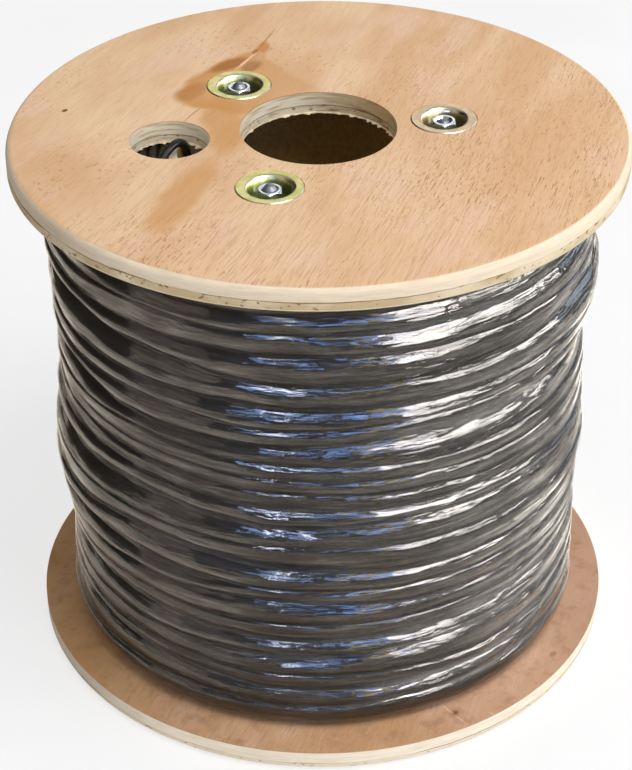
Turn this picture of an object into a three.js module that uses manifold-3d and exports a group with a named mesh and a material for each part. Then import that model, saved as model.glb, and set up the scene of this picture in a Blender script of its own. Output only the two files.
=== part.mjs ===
// Plywood cable drum, full of black twin-leg cable under clear stretch film, standing on one flange.
// Two plywood flanges clamp a fibre tube, the barrel, between them. Three threaded tie rods run just
// inside the tube, and each end of a rod has a hex nut that sits down in a dished cup washer.
// Millimetres, +Z up along the drum's axis, origin at the centre of the lower flange's outer face.
import * as THREE from 'three';
import { mergeVertices } from 'three/addons/utils/BufferGeometryUtils.js';
import Module from 'manifold-3d';

const wasm = await Module();
wasm.setup();

// ---------- driving dimensions ----------
const seatGap = 0.3; // left between two pieces that touch

// flanges
const flangeDiameter = 356;
const flangeThickness = 13.5;
const flangeEdgeRadius = 4.4; // rounding of the rim where it meets the outer face
const arborBore = 90;
const startHoleDiameter = 46;
const startHoleInset = 0.5; // its centre, inside the barrel's outer face: it opens to both sides of the tube
const startHoleAngle = 189.3; // degrees, anticlockwise from +X seen from above

// barrel
const traverse = 302; // between the inner faces of the two flanges
const barrelDiameter = 172;
const barrelWall = 5;

// cable: a coaxial leg and a thinner power leg side by side, wound flat
const cableThickness = 6.05;
const cableLayers = 12;
const endGrooveDepth = 1.6; // between two layers, on the winding's ends
const innerLegDiameter = 5; // the power leg, split off, that shows in the start hole

// The last layer is laid loosely by hand, so its turns differ. From the upper flange down, each has
// its height along the drum, the breadth of the shoulder where the film slants out from the groove
// above it to its crown, and how far the crown stands out from the winding's nominal radius.
const lastLayer = [
  [16.7, 1, 0], [9.6, 3.6, 0.3], [14, 6, 0.8], [11.8, 3.8, 1.5], [22, 10.4, 2.5], [12.6, 4.2, 1.3],
  [11.5, 3.5, -0.5], [14.9, 8.9, -3], [10.1, 2.2, -1.6], [9.8, 1.7, -1.9], [8.9, 2.3, -2],
  [10, 4.5, 0.5], [16.8, 9.2, 1.3], [14.6, 2.5, 2.5], [15.9, 4.8, 1.8], [12.9, 5.2, 0.5],
  [11.5, 4, -1.3], [10.6, 1.9, -2.2], [14.3, 6.5, -2.4], [11.7, 3.5, -2], [9.2, 3.6, -1.8],
  [13.3, 3.9, -1.5], [18.7, 3.3, -0.8],
];
const shoulderSlope = 0.45; // rise of a shoulder for each millimetre of its breadth
const grooveBelowFilm = 1.6; // depth of the groove between two turns, under the film that spans it
const footTuck = 5; // the lowest turn curls in by this much to the lower flange

// stretch film over the last layer
const filmThickness = 0.4;

// tie rods, nuts and cup washers
const rodCount = 3;
const rodDiameter = 8;
const rodToBarrel = 3.5; // clearance from a rod to the inside of the barrel, were their circle centred
const rodCircleDrift = [-0.5, -2]; // from the drum's axis to the middle of the rods' circle, as drilled
const firstRodAngle = 9; // degrees, about the middle of the rods' circle
const rodTopOverrun = [0.8, 3, 3]; // rod end above each top nut
const rodBottomOverrun = 0.8; // rod end below each bottom nut
const rodEndChamfer = 0.8;
const threadClearance = 0.3; // rod to nut and rod to washer, on the radius
const nutAcrossFlats = 13;
const nutFaceDiameter = 12.3; // of the round face that the corner chamfers leave
const nutHeight = 6.5;
const nutChamfer = 1.1; // height that a chamfer takes at a corner
const nutCountersink = 0.6;
const washerDiameter = 38;
const washerSheet = 1.2;
const cupMouth = 26;
const cupFloor = 19;
const cupDepth = 8.1; // from the rim's outer face to the floor inside
const cupLipRadius = 1.4; // rounding from the rim into the cup
const cupHoleClearance = 0.5; // cup to its counterbore
const topRimSink = 1.1; // the upper rims are drawn this far into the plywood
const bottomRimSink = 0.3; // the lower rims lie this far inside the face that the drum stands on

// how finely the round pieces are divided
const flangeSegments = 60;
const edgeSteps = 2;
const windingSegments = 24; // the barrel, winding and film are divided alike, so that they nest
const holeSegments = 24;
const washerSegments = 18;
const threadSegments = 12;
const innerEndSides = 8;
const innerEndSteps = 18;

// ---------- sizes that follow ----------
const height = traverse + 2 * flangeThickness;
const lowerInnerFace = flangeThickness;
const upperInnerFace = height - flangeThickness;
const barrelRadius = barrelDiameter / 2;
const windingBore = barrelRadius + seatGap;
const windingRadius = barrelRadius + cableLayers * cableThickness;
const windingBottom = lowerInnerFace + seatGap;
const windingTop = upperInnerFace - seatGap;
const windingLength = windingTop - windingBottom;
const startHoleRadius = barrelRadius - startHoleInset;
const rodRadius = rodDiameter / 2;
const rodCircleRadius = barrelRadius - barrelWall - rodToBarrel - rodRadius;
const rodHoleRadius = rodRadius + threadClearance;
const cupBackRadius = cupMouth / 2 + washerSheet + cupLipRadius / 2; // where the rim's back turns down
const counterboreRadius = cupBackRadius + cupHoleClearance;
const counterboreDepth = cupDepth; // the rim stands seatGap proud, and so clears the floor by as much
const bottomRebateDepth = washerSheet + seatGap + bottomRimSink;
const topRimSeat = height - topRimSink;

// ---------- finishes ----------
const finish = {
  plywood: { color: 0xdcb890, roughness: 0.6, metalness: 0 },
  fibreTube: { color: 0xb9a58a, roughness: 0.9, metalness: 0 },
  cable: { color: 0x2a2826, roughness: 0.35, metalness: 0 },
  film: { color: 0x55534f, roughness: 0.12, metalness: 0, transparent: true, opacity: 0.5 },
  yellowZinc: { color: 0xc6c37a, roughness: 0.3, metalness: 0.9 },
  brightZinc: { color: 0xd5d7da, roughness: 0.25, metalness: 0.95 },
};

// ---------- geometry helpers ----------
const radians = THREE.MathUtils.degToRad;

function solidOf(geometry) {
  const bare = geometry.clone();
  bare.deleteAttribute('normal');
  bare.deleteAttribute('uv');
  const merged = mergeVertices(bare, 1e-4);
  return new wasm.Manifold(new wasm.Mesh({
    numProp: 3,
    vertProperties: new Float32Array(merged.attributes.position.array),
    triVerts: new Uint32Array(merged.index.array),
  }));
}

function geometryOf(solid) {
  const { vertProperties, triVerts } = solid.getMesh();
  const geometry = new THREE.BufferGeometry();
  geometry.setAttribute('position', new THREE.BufferAttribute(new Float32Array(vertProperties), 3));
  geometry.setIndex(new THREE.BufferAttribute(new Uint32Array(triVerts), 1));
  geometry.computeVertexNormals();
  return geometry;
}

function cut(geometry, cutters) {
  return geometryOf(cutters.reduce((solid, cutter) => solid.subtract(solidOf(cutter)), solidOf(geometry)));
}

// A profile of [radius, z] pairs, anticlockwise with z up, turned about the Z axis.
function turned(profile, segments) {
  const points = profile.map(([radius, z]) => new THREE.Vector2(radius, z));
  return new THREE.LatheGeometry(points, segments).rotateX(Math.PI / 2);
}

function ring(innerRadius, outerRadius, bottom, top, segments) {
  return turned([
    [innerRadius, bottom], [outerRadius, bottom], [outerRadius, top], [innerRadius, top],
    [innerRadius, bottom],
  ], segments);
}

function post(radius, bottom, top, [x, y], segments) {
  const geometry = new THREE.CylinderGeometry(radius, radius, top - bottom, segments);
  return geometry.rotateX(Math.PI / 2).translate(x, y, (bottom + top) / 2);
}

// Points on a quarter round from one tangent point to the other, both ends included.
function arcPoints(centreRadius, centreZ, radius, fromDegrees, toDegrees, steps) {
  return Array.from({ length: steps + 1 }, (_, step) => {
    const angle = radians(fromDegrees + (toDegrees - fromDegrees) * step / steps);
    return [centreRadius + radius * Math.cos(angle), centreZ + radius * Math.sin(angle)];
  });
}

function polar(radius, degrees) {
  return [radius * Math.cos(radians(degrees)), radius * Math.sin(radians(degrees))];
}

const rodPlaces = Array.from({ length: rodCount }, (_, rod) =>
  polar(rodCircleRadius, firstRodAngle + rod * 360 / rodCount)
    .map((coordinate, axis) => coordinate + rodCircleDrift[axis]));

// ---------- flanges ----------
// A disc with its outer face up at z = flangeThickness: bored for the arbor, its outer edge rounded.
function flangeBlank() {
  const rim = flangeDiameter / 2;
  const bore = arborBore / 2;
  return turned([
    [bore, 0], [rim, 0],
    ...arcPoints(rim - flangeEdgeRadius, flangeThickness - flangeEdgeRadius, flangeEdgeRadius, 0, 90,
      edgeSteps),
    [bore, flangeThickness], [bore, 0],
  ], flangeSegments);
}

// Rebate for the washer's rim, counterbore for its cup, and the hole that the rod passes through.
function rodCutters(place, rimSeat, inward) {
  const mouth = rimSeat - inward * flangeThickness;
  const cutTo = (end, radius, segments) =>
    post(radius, Math.min(mouth, end), Math.max(mouth, end), place, segments);
  return [
    cutTo(rimSeat, washerDiameter / 2 + seatGap, washerSegments),
    cutTo(rimSeat + inward * counterboreDepth, counterboreRadius, washerSegments),
    cutTo(rimSeat + inward * 2 * flangeThickness, rodHoleRadius, threadSegments),
  ];
}

function upperFlange() {
  const blank = flangeBlank().translate(0, 0, upperInnerFace);
  const startHole = post(startHoleDiameter / 2, upperInnerFace - 1, height + 1,
    polar(startHoleRadius, startHoleAngle), holeSegments);
  return cut(blank, [startHole, ...rodPlaces.flatMap((place) => rodCutters(place, topRimSeat, -1))]);
}

function lowerFlange() {
  const blank = flangeBlank().rotateX(Math.PI).translate(0, 0, lowerInnerFace);
  return cut(blank, rodPlaces.flatMap((place) => rodCutters(place, bottomRebateDepth, 1)));
}

// ---------- barrel, winding and film ----------
function barrel() {
  return ring(barrelRadius - barrelWall, barrelRadius, windingBottom, windingTop, windingSegments);
}

// Outline over the last layer, from the lower flange up: each turn's crown, and the groove above it.
// The turns are spread to fill the traverse.
function layerOutline(extraGroove) {
  const stretch = windingLength / lastLayer.reduce((sum, [turnHeight]) => sum + turnHeight, 0);
  const outline = [[windingRadius + lastLayer.at(-1)[2] - footTuck, windingBottom]];
  let groove = windingBottom;
  for (const [turnHeight, shoulder, proud] of [...lastLayer].reverse()) {
    const crown = windingRadius + proud;
    const under = stretch * (turnHeight - shoulder); // from the groove below up to the shoulder
    outline.push([crown, groove + 0.65 * under]);
    groove += stretch * turnHeight;
    outline.push([crown - shoulderSlope * shoulder - extraGroove, groove]);
  }
  return outline;
}

// The whole winding as one turned solid on the barrel: its outline has the turns of the last layer,
// and each of its ends has a ridge for every layer.
function winding() {
  const end = [];
  for (let layer = cableLayers - 1; layer > 0; layer -= 1) {
    const boundary = barrelRadius + layer * cableThickness;
    end.push([boundary, endGrooveDepth], [boundary - cableThickness / 2, 0]);
  }
  end.push([windingBore, endGrooveDepth]);
  const upperEnd = end.map(([radius, depth]) => [radius, windingTop - depth]);
  const lowerEnd = end.map(([radius, depth]) => [radius, windingBottom + depth]).reverse();
  return turned([...lowerEnd, ...layerOutline(grooveBelowFilm), ...upperEnd, lowerEnd[0]], windingSegments);
}

// The film is drawn tight over the turns and slants from the crown of each to the groove above it.
function stretchFilm() {
  const inside = layerOutline(0).map(([radius, z]) => [radius + seatGap, z]);
  const outside = inside.map(([radius, z]) => [radius + filmThickness, z]);
  return turned([...outside, ...inside.reverse(), outside[0]], windingSegments);
}

// The cable's inner end leaves the winding inside the start hole, arches over the barrel's edge and
// hangs down inside the barrel. Where it meets the winding it is trimmed level with its end face.
function cableInnerEnd() {
  const [holeX, holeY] = polar(startHoleRadius, startHoleAngle);
  const route = [
    [-9.5, -19, -11], [-7.6, -13.6, -1.5], [-3.6, -5.1, 5], [0.4, 0.9, 7.9], [4.4, 6.9, 7.9],
    [7.1, 12.1, 4], [8.4, 15.9, -3], [9.4, 17.9, -13], [9.9, 17.9, -28], [9, 17, -46], [7.5, 16, -60],
  ].map(([x, y, z]) => new THREE.Vector3(holeX + x, holeY + y, upperInnerFace + z));
  const section = new THREE.Shape().absellipse(0, 0, innerLegDiameter / 2, innerLegDiameter / 2, 0,
    2 * Math.PI);
  const tube = new THREE.ExtrudeGeometry(section, {
    steps: innerEndSteps,
    curveSegments: innerEndSides / 2,
    bevelEnabled: false,
    extrudePath: new THREE.CatmullRomCurve3(route),
  });
  const below = ring(barrelRadius, windingRadius, windingBottom, upperInnerFace, windingSegments);
  return cut(tube, [below]);
}

// ---------- tie rods, cup washers and nuts ----------
// The hardware is drawn for the top of a rod, with z = 0 at the seat of the washer's rim.
const nutSeat = washerSheet - cupDepth + seatGap;
const nutTop = nutSeat + nutHeight;

function cupWasher() {
  const rim = washerDiameter / 2;
  const mouth = cupMouth / 2;
  const floor = cupFloor / 2;
  const inside = washerSheet - cupDepth;
  return turned([
    [rodHoleRadius, inside - washerSheet], [floor + washerSheet, inside - washerSheet],
    [mouth + washerSheet, -cupLipRadius], [cupBackRadius, 0],
    [rim, 0], [rim, washerSheet],
    [mouth + cupLipRadius, washerSheet], [mouth, washerSheet - cupLipRadius],
    [floor, inside], [rodHoleRadius, inside],
    [rodHoleRadius, inside - washerSheet],
  ], washerSegments);
}

function hexNut() {
  const corner = nutAcrossFlats / Math.sqrt(3);
  const face = nutFaceDiameter / 2;
  const hexagon = new THREE.CylinderGeometry(corner, corner, nutHeight, 6).rotateX(Math.PI / 2)
    .translate(0, 0, nutSeat + nutHeight / 2);
  const bore = rodHoleRadius;
  const chamfered = turned([
    [bore, nutSeat], [face, nutSeat], [corner, nutSeat + nutChamfer],
    [corner, nutTop - nutChamfer], [face, nutTop],
    [bore + nutCountersink, nutTop], [bore, nutTop - nutCountersink], [bore, nutSeat],
  ], threadSegments);
  return geometryOf(solidOf(hexagon).intersect(solidOf(chamfered)));
}

function tieRod(topOverrun) {
  const bottom = bottomRebateDepth - nutTop - rodBottomOverrun;
  const top = topRimSeat + nutTop + topOverrun;
  const point = rodRadius - rodEndChamfer;
  return turned([
    [0, bottom], [point, bottom], [rodRadius, bottom + rodEndChamfer],
    [rodRadius, top - rodEndChamfer], [point, top], [0, top],
  ], threadSegments);
}

// ---------- assembly ----------
const drum = new THREE.Group();

function add(name, geometry, look, parent = drum) {
  const mesh = new THREE.Mesh(geometry, new THREE.MeshStandardMaterial(look));
  mesh.name = name;
  parent.add(mesh);
  return mesh;
}

add('flange_bottom', lowerFlange(), finish.plywood);
add('flange_top', upperFlange(), finish.plywood);
add('barrel', barrel(), finish.fibreTube);
add('cable_winding', winding(), finish.cable);
add('cable_inner_end', cableInnerEnd(), finish.cable);
add('stretch_film', stretchFilm(), finish.film);

rodPlaces.forEach(([x, y], rod) => {
  const station = new THREE.Group();
  station.position.set(x, y, 0);
  drum.add(station);
  const number = rod + 1;
  add(`tie_rod_${number}`, tieRod(rodTopOverrun[rod % rodTopOverrun.length]), finish.brightZinc, station);

  const upper = new THREE.Group();
  upper.position.z = topRimSeat + seatGap;
  add(`cup_washer_top_${number}`, cupWasher(), finish.yellowZinc, upper);
  add(`nut_top_${number}`, hexNut(), finish.brightZinc, upper);

  const lower = new THREE.Group();
  lower.rotation.x = Math.PI;
  lower.position.z = bottomRebateDepth - seatGap;
  add(`cup_washer_bottom_${number}`, cupWasher(), finish.yellowZinc, lower);
  add(`nut_bottom_${number}`, hexNut(), finish.brightZinc, lower);
  station.add(upper, lower);
});

export default drum;
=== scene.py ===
# A plywood cable drum standing on one flange, full of black twin-leg cable under clear stretch film.
# Metres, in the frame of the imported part: +Z up along the drum's axis, z = 0 where it stands.
import math
from contextlib import contextmanager

import bmesh
import bpy
from mathutils import Matrix, Vector, noise


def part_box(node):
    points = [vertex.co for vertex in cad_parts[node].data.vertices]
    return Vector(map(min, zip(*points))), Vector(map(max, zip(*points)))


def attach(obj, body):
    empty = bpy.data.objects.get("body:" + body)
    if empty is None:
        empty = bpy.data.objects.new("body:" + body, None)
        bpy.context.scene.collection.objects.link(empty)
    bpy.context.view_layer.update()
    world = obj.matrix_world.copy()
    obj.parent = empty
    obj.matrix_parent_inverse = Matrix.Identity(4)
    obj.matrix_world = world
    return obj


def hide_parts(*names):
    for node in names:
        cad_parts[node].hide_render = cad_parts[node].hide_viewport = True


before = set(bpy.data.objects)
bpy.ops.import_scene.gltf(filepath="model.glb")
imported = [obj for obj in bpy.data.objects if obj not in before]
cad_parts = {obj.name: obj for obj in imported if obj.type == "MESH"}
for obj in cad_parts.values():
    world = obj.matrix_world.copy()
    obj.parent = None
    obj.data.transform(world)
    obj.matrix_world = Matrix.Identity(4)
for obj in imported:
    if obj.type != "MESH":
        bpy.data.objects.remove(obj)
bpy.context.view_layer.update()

MM = 0.001
TURN = 2 * math.pi

# ---------- sizes, from the frame where it has them ----------
flange_low, flange_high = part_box("flange_top")
DRUM_TOP = flange_high.z
UPPER_INNER = flange_low.z
LOWER_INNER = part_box("flange_bottom")[1].z
FLANGE_RADIUS = flange_high.x
PLY_THICKNESS = DRUM_TOP - UPPER_INNER
EDGE_RADIUS = 4.4 * MM
ARBOR_RADIUS = 45 * MM
START_HOLE_RADIUS = 23 * MM
START_HOLE = Vector((-84.38, -13.82, 0)) * MM
BARREL_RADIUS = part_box("barrel")[1].x
BARREL_WALL = 5 * MM
CABLE_THICKNESS = 6.05 * MM
CABLE_LAYERS = 12
LEG_DIAMETER = 5 * MM  # of the cable's power leg, by itself
RODS = [Vector(((lo.x + hi.x) / 2, (lo.y + hi.y) / 2, 0))
        for lo, hi in (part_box(f"tie_rod_{number}") for number in (1, 2, 3))]


# ---------- camera ----------
CAMERA_PLACE = Vector((0, -1.1498, 0.9182))
CAMERA_PITCH = 0.5876  # below the horizon
CAMERA_YAW = -0.0021
CAMERA_ROLL = -0.0088
CAMERA_LENS = 105.2


def add_camera():
    ahead = Vector((0, math.cos(CAMERA_PITCH), -math.sin(CAMERA_PITCH)))
    up = Vector((0, math.sin(CAMERA_PITCH), math.cos(CAMERA_PITCH)))
    right = Vector((1, 0, 0))
    turned_ahead = math.cos(CAMERA_YAW) * ahead + math.sin(CAMERA_YAW) * right
    turned_right = math.cos(CAMERA_YAW) * right - math.sin(CAMERA_YAW) * ahead
    rolled_right = math.cos(CAMERA_ROLL) * turned_right + math.sin(CAMERA_ROLL) * up
    rolled_up = math.cos(CAMERA_ROLL) * up - math.sin(CAMERA_ROLL) * turned_right
    bpy.ops.object.camera_add(location=CAMERA_PLACE)
    camera = bpy.context.active_object
    camera.rotation_euler = Matrix((rolled_right, rolled_up, -turned_ahead)).transposed().to_euler()
    camera.data.lens = CAMERA_LENS
    bpy.context.scene.camera = camera


# ---------- modelling helpers ----------
def deselect():
    bpy.ops.object.select_all(action="DESELECT")


def added(name, primitive, **where):
    """A new primitive, by itself, with its place in its mesh."""
    deselect()
    getattr(bpy.ops.mesh, primitive)(**where)
    piece = bpy.context.active_object
    piece.name = piece.data.name = name
    bpy.ops.object.transform_apply(location=True, rotation=True, scale=True)
    return piece


@contextmanager
def only(piece):
    deselect()
    piece.select_set(True)
    bpy.context.view_layer.objects.active = piece
    yield piece


@contextmanager
def edit_mode(piece):
    """Edit mode on one piece, with all of it selected at first."""
    with only(piece):
        bpy.ops.object.mode_set(mode="EDIT")
        bpy.ops.mesh.select_all(action="SELECT")
        yield
        bpy.ops.object.mode_set(mode="OBJECT")


def pick(kind, test):
    """In edit mode, selects the vertices, edges or faces whose middle passes the test."""
    bpy.ops.mesh.select_mode(type=kind)
    bpy.ops.mesh.select_all(action="DESELECT")
    mesh = bmesh.from_edit_mesh(bpy.context.edit_object.data)
    parts = {"VERT": mesh.verts, "EDGE": mesh.edges, "FACE": mesh.faces}[kind]
    for part in parts:
        corners = [part] if kind == "VERT" else part.verts
        middle = sum((corner.co for corner in corners), Vector()) / len(corners)
        part.select_set(test(middle))
    mesh.select_flush_mode()
    bmesh.update_edit_mesh(bpy.context.edit_object.data)


def modified(piece, kind, **settings):
    """Adds one modifier with these settings and applies it."""
    modifier = piece.modifiers.new(kind.lower(), kind)
    for name, value in settings.items():
        setattr(modifier, name, value)
    with only(piece):
        bpy.ops.object.modifier_apply(modifier=modifier.name)
    return piece


def combined(piece, other, operation):
    """Boolean with another piece, which is used up."""
    modified(piece, "BOOLEAN", object=other, operation=operation, solver="EXACT")
    bpy.data.objects.remove(other)
    return piece


def copied(piece, name, offset=(0, 0, 0)):
    """A copy with its own mesh, moved by the offset."""
    with only(piece):
        bpy.ops.object.duplicate()
        twin = bpy.context.active_object
        twin.name = twin.data.name = name
        bpy.ops.transform.translate(value=offset)
        bpy.ops.object.transform_apply(location=True, rotation=True, scale=True)
    return twin


def turned(name, profile, sides):
    """A closed ring with this (radius, height) profile: a circle, extruded and scaled from point to point."""
    radius, height = profile[0]
    piece = added(name, "primitive_circle_add", vertices=sides, radius=radius, location=(0, 0, height))
    with edit_mode(piece):
        for next_radius, next_height in [*profile[1:], profile[0]]:
            bpy.ops.mesh.extrude_edges_move(TRANSFORM_OT_translate={"value": (0, 0, next_height - height)})
            growth = next_radius / radius
            bpy.ops.transform.resize(value=(growth, growth, 1), center_override=(0, 0, 0))
            radius, height = next_radius, next_height
        bpy.ops.mesh.select_all(action="SELECT")
        bpy.ops.mesh.remove_doubles(threshold=1e-6)
        bpy.ops.mesh.normals_make_consistent(inside=False)
    return piece


def arc(centre_radius, centre_height, radius, start, stop, steps):
    """Points on a round from the start angle to the stop angle, in degrees."""
    angles = [math.radians(start + (stop - start) * step / steps) for step in range(steps + 1)]
    return [(centre_radius + radius * math.cos(a), centre_height + radius * math.sin(a)) for a in angles]


def smoothed(piece, degrees=30):
    with only(piece):
        bpy.ops.object.shade_smooth_by_angle(angle=math.radians(degrees), keep_sharp_edges=False)
    return piece


def dress(piece, finish, slot, *stands_for):
    """Gives a finished piece its material and body, and hides the frame's nodes that it stands for. The slot
    is not used.
    """
    piece.data.materials.clear()
    piece.data.materials.append(finish)
    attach(piece, "root")
    if stands_for:
        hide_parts(*stands_for)
    return piece


def ripple(x, y, z=0.0):
    """Smooth noise from -1 to 1, about one swell per unit."""
    return noise.noise(Vector((x, y, z)))


def ease(value, low, high):
    """0 below low, 1 above high, smooth between."""
    share = min(1, max(0, (value - low) / (high - low)))
    return share * share * (3 - 2 * share)


# ---------- material helpers ----------
def rgb(red, green, blue):
    """A colour given as it looks, 0 to 255, as a shader reads it."""
    shares = [level / 255 for level in (red, green, blue)]
    linear = [s / 12.92 if s <= 0.04045 else ((s + 0.055) / 1.055) ** 2.4 for s in shares]
    return (*linear, 1)


class Finish:
    """A material, and short hand for its nodes. A value is a number, a colour, a vector or a socket."""

    def __init__(self, name):
        self.material = bpy.data.materials.new(name)
        self.material.use_nodes = True
        self.tree = self.material.node_tree
        self.shader = self.tree.nodes["Principled BSDF"]
        self.out = self.tree.nodes["Material Output"]

    def feed(self, socket, value):
        if isinstance(value, bpy.types.NodeSocket):
            self.tree.links.new(value, socket)
        else:
            socket.default_value = value

    def node(self, kind, feeds=None, **settings):
        made = self.tree.nodes.new(f"ShaderNode{kind}")
        for name, value in settings.items():
            setattr(made, name, value)
        for key, value in (feeds or {}).items():
            self.feed(made.inputs[key], value)
        return made

    def surface(self, **values):
        for name, value in values.items():
            self.feed(self.shader.inputs[name.replace("_", " ").title().replace("Ior", "IOR")], value)

    def place(self):
        return self.node("TexCoord").outputs["Object"]

    def mapped(self, vector, scale=(1, 1, 1), turn=0.0, centre=(0, 0, 0), kind="POINT", lean=0.0):
        return self.node("Mapping", {"Vector": vector, "Scale": scale, "Rotation": (0, lean, turn),
                                     "Location": centre}, vector_type=kind).outputs[0]

    def noise(self, vector, scale, detail=2.0, roughness=0.5):
        return self.node("TexNoise", {"Vector": vector, "Scale": scale, "Detail": detail,
                                      "Roughness": roughness}).outputs["Fac"]

    def ramp(self, value, low, high, start=0.0, stop=1.0):
        """Start below low, stop above high, smooth between."""
        return self.node("MapRange", {"Value": value, "From Min": low, "From Max": high, "To Min": start,
                                      "To Max": stop}, interpolation_type="SMOOTHSTEP").outputs[0]

    def math(self, operation, first, second=0.0):
        return self.node("Math", {0: first, 1: second}, operation=operation).outputs[0]

    def blend(self, factor, first, second):
        return self.node("Mix", {0: factor, 6: first, 7: second}, data_type="RGBA").outputs[2]

    def axis(self, vector, name):
        return self.node("SeparateXYZ", {0: vector}).outputs[name]

    def bump(self, height, distance, strength=1.0):
        return self.node("Bump", {"Height": height, "Distance": distance, "Strength": strength}).outputs[0]

    def wandering(self, vector, scale, reach):
        """The same place, moved about by smooth noise."""
        stray = self.node("TexNoise", {"Vector": vector, "Scale": scale, "Detail": 3.0}).outputs["Color"]
        stray = self.node("VectorMath", {0: stray, 1: (0.5, 0.5, 0.5)}, operation="SUBTRACT").outputs[0]
        return self.node("VectorMath", {0: stray, 1: (reach, reach, reach), 2: vector},
                         operation="MULTIPLY_ADD").outputs[0]

    def radius(self, vector):
        """Distance from the Z axis."""
        flat = self.node("VectorMath", {0: vector, 1: (1, 1, 0)}, operation="MULTIPLY").outputs[0]
        return self.node("VectorMath", {0: flat}, operation="LENGTH").outputs["Value"]

    def ellipse(self, vector, centre, half_length, half_width, degrees):
        """Distance from the centre, 1 on the ellipse whose long axis is turned by that many degrees."""
        local = self.mapped(vector, (half_length, half_width, 1), math.radians(degrees), centre, "TEXTURE")
        return self.radius(local)


# ---------- plywood ----------
GRAIN = 70  # degrees from +X, of the face veneer's grain
GRAIN_BOW = -0.8  # how the grain curves: its lines are bowed by this times the square of x
# Depths from a flange's upper side at which its plies end.
FACE_VENEER = 0.6 * MM
CREAM_PLY = 8.2 * MM
CORE_PLY = 12.6 * MM
GLUE_LINE = 0.5 * MM  # thickness of the dark glue under the cream plies
PORE_BROWN = rgb(176, 118, 84)
STAIN_BROWN = rgb(205, 150, 94)
CRACK_DARK = rgb(120, 78, 50)
CREAM = rgb(246, 229, 205)
SAWN_CREAM = rgb(255, 245, 226)  # the plies inside the holes, fresh from the saw
# Painted shade: the sawn plies are given this darker tan towards +X, where the hole walls face away from the
# light.
SAWN_SHADED_TAN = rgb(230, 196, 144)  # the same towards +X
SAWN_STREAK = rgb(220, 196, 146)
# Dirt in the holes, which also serves as painted shade on the walls towards +X.
SAWN_DIRT_AND_SHADE = rgb(136, 104, 62)
GLUE_BROWN = rgb(120, 86, 48)
LAST_VENEER = rgb(232, 214, 182)
# The stain round the knot, anticlockwise in plan from its right-hand tip, and the point that it spreads from.
STAIN_MIDDLE = (-48, 53)
STAIN_OUTLINE = [(4, 48), (-8, 62), (-17, 71), (-26, 84), (-31, 98), (-34, 115), (-38, 107), (-50, 96),
                 (-59, 89), (-66, 79), (-73, 70), (-79, 61), (-82, 49), (-85, 38), (-80, 32), (-73, 25),
                 (-62, 23), (-45, 18), (-25, 33), (-11, 39)]
STAIN_REACH = 66  # no point of the outline is further from the middle
# Marks round the knot: middle, half length, half width, degrees from +X, strength and colour.
KNOT_MARKS = [
    ((-53, 83), 17, 6.5, 38, 0.75, rgb(162, 104, 56)),
    ((-74, 47), 16, 8, 60, 0.4, rgb(162, 104, 56)),
    ((-40, 80), 10, 5.5, 62, 0.6, rgb(146, 98, 58)),
    ((-33, 107), 8, 4, 78, 0.6, rgb(196, 126, 64)),
    ((-43.5, 87.5), 14, 1.1, 62.5, 1.0, rgb(240, 196, 166)),
    ((-38, 101), 4, 1.5, 60, 0.6, CRACK_DARK),
    ((-31, 119.5), 16, 0.6, 71, 0.55, rgb(140, 90, 56)),
    ((-73, 17), 11, 0.7, 63, 0.6, rgb(190, 118, 80)),
    ((-147, 24), 2.4, 1.6, 60, 1.0, CRACK_DARK),
]


def veneer_colour(f, place, light, shade, pink):
    """Rotary-cut face veneer: broad clouds, fine streaks and short brown pores along the grain."""
    east = f.axis(place, "X")
    bowed = f.math("MULTIPLY", f.math("MULTIPLY", east, east), GRAIN_BOW)
    bow = f.node("CombineXYZ", {"Y": bowed}).outputs[0]
    along = f.node("VectorMath", {0: f.mapped(place, turn=-math.radians(GRAIN)), 1: bow}).outputs[0]
    rightward = f.math("SUBTRACT", east, f.axis(place, "Y"))
    coarse = f.ramp(rightward, -0.12, 0.16, 0.45, 1.0)  # the grain opens up towards +X and -Y
    clouds = f.noise(f.mapped(along, (9, 26, 1)), 1.0, 3.0)
    tone = f.blend(f.ramp(clouds, 0.35, 0.68), light, shade)
    tone = f.blend(f.ramp(rightward, -0.02, 0.2, 0, 0.4), tone, shade)
    blush = f.noise(f.mapped(along, (16, 34, 1), centre=(3, 7, 0)), 1.0, 2.0)
    tone = f.blend(f.ramp(blush, 0.48, 0.7, 0, 0.75), tone, pink)
    streaks = f.noise(f.mapped(along, (30, 520, 1)), 1.0, 3.0, 0.65)
    tone = f.blend(f.math("MULTIPLY", f.ramp(streaks, 0.42, 0.72, 0.0, 0.75), coarse), tone, shade)
    hairs = f.noise(f.mapped(along, (75, 1500, 1), centre=(1, 4, 0)), 1.0, 2.0, 0.6)
    tone = f.blend(f.math("MULTIPLY", f.ramp(hairs, 0.52, 0.7, 0.0, 0.42), coarse), tone, PORE_BROWN)
    patches = f.noise(f.mapped(along, (14, 20, 1), centre=(9, 2, 0)), 1.0, 2.0)
    pores = f.noise(f.mapped(along, (150, 1300, 1)), 1.0, 1.0)
    dashes = f.math("MULTIPLY", f.ramp(pores, 0.62, 0.7), f.ramp(patches, 0.4, 0.62, 0.2, 0.9))
    dashes = f.math("MULTIPLY", dashes, f.ramp(rightward, -0.12, 0.12, 0.15, 1.0))
    flecks = f.noise(f.mapped(along, (300, 520, 1)), 1.0, 1.0)
    specks = f.math("MULTIPLY", f.ramp(flecks, 0.64, 0.72, 0, 0.42), f.ramp(f.noise(place, 16.0), 0.45, 0.6))
    tone = f.blend(specks, tone, PORE_BROWN)
    return f.blend(dashes, tone, PORE_BROWN), dashes


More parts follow.
